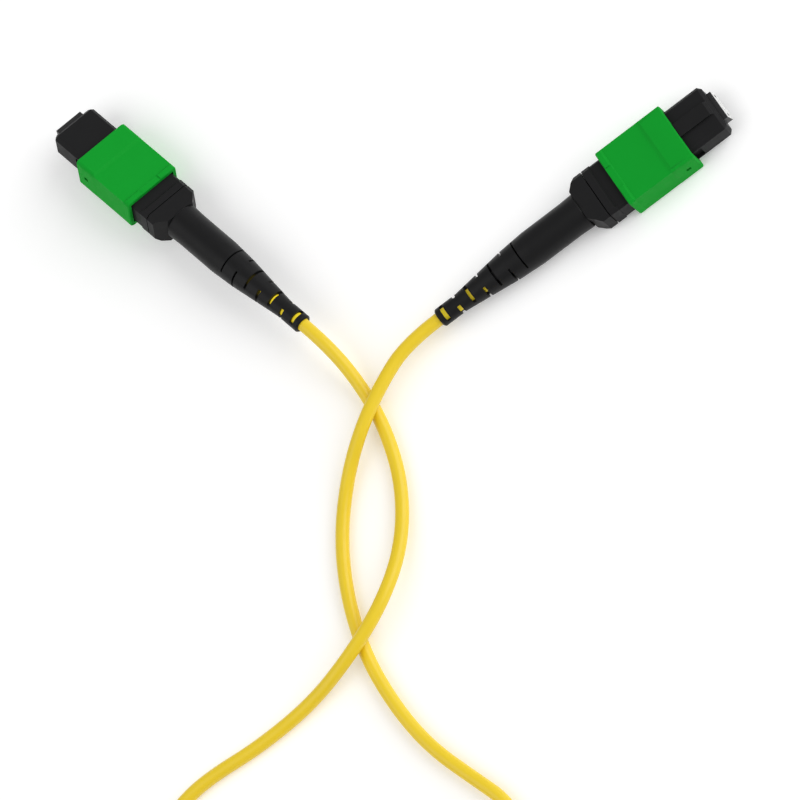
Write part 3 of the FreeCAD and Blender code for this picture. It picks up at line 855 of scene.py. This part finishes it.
def makeCopy(node, end, changes):
    # a merged copy of a moulded piece, its corners broken by a small bevel
    settings = copySettings | changes
    nodeName = node + "_" + end
    piece = bpy.data.objects.new(settings["name"] + end.upper(), nodes[nodeName].data.copy())
    bpy.context.scene.collection.objects.link(piece)
    pick(piece)
    bpy.ops.object.mode_set(mode="EDIT")
    bpy.ops.mesh.select_all(action="SELECT")
    bpy.ops.mesh.remove_doubles(threshold=settings["merge"] * mm)
    bpy.ops.mesh.dissolve_limited(angle_limit=math.radians(settings["flat"]))
    bpy.ops.object.mode_set(mode="OBJECT")
    if settings["corner"]:
        bevel = piece.modifiers.new("corner", "BEVEL")
        bevel.width = settings["corner"] * mm
        bevel.segments = settings["segments"]
        bevel.limit_method = "ANGLE"
        bevel.angle_limit = math.radians(settings["sharp"])
        bevel.harden_normals = False
        bpy.ops.object.modifier_apply(modifier="corner")
    bpy.ops.object.shade_smooth_by_angle(angle=math.radians(settings["smooth"]))
    # keeps the broad faces flat beside their round corners
    flatten = piece.modifiers.new("flatten", "WEIGHTED_NORMAL")
    flatten.keep_sharp = True
    bpy.ops.object.modifier_apply(modifier="flatten")
    paint(piece, materialOf(settings["material"], end))
    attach(piece, bodyOf[nodeName])
    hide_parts(nodeName)
    return piece


mouldedPieces = {
    "inner_housing": {"name": "housing", "material": "housing", "slot": "housing_plastic", "corner": 0.10},
    "coupling_sleeve": {"name": "sleeve", "material": "sleeve", "slot": "sleeve_plastic", "corner": 0.12},
    "rear_body": {"name": "rearBody", "material": "housing", "slot": "rear_plastic", "corner": 0.10},
    "boot": {"name": "strainBoot", "material": "boot", "slot": "boot_plastic", "corner": 0.06},
    "ferrule": {"name": "ferrule", "material": "ferrule", "slot": "ferrule", "corner": 0.04},
}

seam = {"station": 38.65, "band": 0.06, "gap": 0.2}  # mm; the station counts from the boot's mouth


def openSeam(end, seam):
    # draws the flange's front wall back, so that a dark gap shows where it meets the collar
    body = bpy.data.objects["rearBody" + end.upper()]
    plug = plugs[end]
    reach = boreToMouth(end)
    rim = []
    for vertex in body.data.vertices:
        offset = vertex.co - plug["middle"]
        station = (offset.dot(plug["forward"]) + reach) / mm
        if abs(station - seam["station"]) < seam["band"]:
            rim.append(vertex)
    print("seam", end, len(rim), "corners drawn back")
    for vertex in rim:
        vertex.co -= plug["forward"] * seam["gap"] * mm


for node, piece in mouldedPieces.items():
    for end in ends:
        makeCopy(node, end, piece)
for end in ends:
    openSeam(end, seam)
print("moulded pieces dressed")


# springs and fibre, each held at one end
springPiece = {"material": "spring", "slot": "spring_steel", "held": "rear", "corner": 0}
givingPieces = {
    "main_spring": springPiece | {"name": "mainSpring", "joint": "ferrule"},
    "return_springs": springPiece | {"name": "returnSprings", "joint": "sleeve"},
    "fibre_ribbon": {
        "name": "fibreRibbon",
        "material": "ribbon",
        "slot": "fibre_coating",
        "joint": "ferrule",
        "held": "front",
        "corner": 0,
    },
}


def makeGiving(node, end, piece):
    # a copy of the piece, with a mesh of its own
    made = makeCopy(node, end, piece)
    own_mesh(made)


for node, piece in givingPieces.items():
    for end in ends:
        makeGiving(node, end, piece)
print("springs and fibre made")


# pieces that keep their modelled shape and only get a finish
plainNodes = {
    "ferrule_boot": "rubber",
    "pin_keeper": "keeper",
    "aramid_yarn": "aramid",
    "crimp_sleeve": "crimp",
    "jacket_end": "jacketEndShadedAndGlowing",
}
for node, material in plainNodes.items():
    for end in ends:
        paint(nodes[node + "_" + end], materialOf(material, end))
print("plain nodes dressed")


# white table, a large soft key from the right and a soft fill from the left; all in metres
studio = {
    "floorSize": 3.0,
    "floorDrop": 0.00002,
    "floorDark": (0.93, 0.93, 0.93),
    "floorPale": (0.95, 0.95, 0.95),
    "floorMottle": 30,
    "floorRough": 0.9,
    "floorGloss": 0.1,
    "floorGlow": 0.17,
    "worldStrength": 0.46,
    "aim": (-0.03, -0.04, 0.0),
    "lamps": {
        "keyLamp": {"place": (1.00, -0.16, 0.62), "size": 1.4, "power": 11.0},
        "fillLamp": {"place": (-0.75, -0.10, 0.75), "size": 1.2, "power": 4.2},
    },
}


def makeFloor(setup):
    bpy.ops.object.select_all(action="DESELECT")
    bpy.ops.mesh.primitive_plane_add(size=setup["floorSize"], location=(0, 0, -setup["floorDrop"]))
    floor = bpy.context.active_object
    floor.name = "floor"
    material, tree, shader, place = startMaterial("floorWhite")
    mottle = noiseOn(tree, place, setup["floorMottle"])
    feedAll(tree, shader, {
        "Base Color": mixColour(tree, mottle, setup["floorDark"], setup["floorPale"]),
        "Roughness": setup["floorRough"],
        "Specular IOR Level": setup["floorGloss"],
        "Emission Color": (1.0, 1.0, 1.0),
        "Emission Strength": setup["floorGlow"],
    })
    floor.data.materials.append(material)


def makeLamp(name, setup, target):
    data = bpy.data.lights.new(name, "AREA")
    data.shape = "DISK"
    data.size = setup["size"]
    data.energy = setup["power"]
    lamp = bpy.data.objects.new(name, data)
    bpy.context.scene.collection.objects.link(lamp)
    lamp.location = setup["place"]
    aim = Vector(target) - Vector(setup["place"])
    lamp.rotation_euler = aim.to_track_quat("-Z", "Y").to_euler()


def makeSky(strength):
    world = bpy.data.worlds.new("studio")
    world.use_nodes = True
    background = world.node_tree.nodes["Background"]
    feedAll(world.node_tree, background, {"Color": (1.0, 1.0, 1.0), "Strength": strength})
    bpy.context.scene.world = world


makeFloor(studio)
for name, lamp in studio["lamps"].items():
    makeLamp(name, lamp, studio["aim"])
makeSky(studio["worldStrength"])
# keeps the plastics' colours as clear as they are in daylight
bpy.context.scene.view_settings.view_transform = "Standard"
print("floor and lights made")
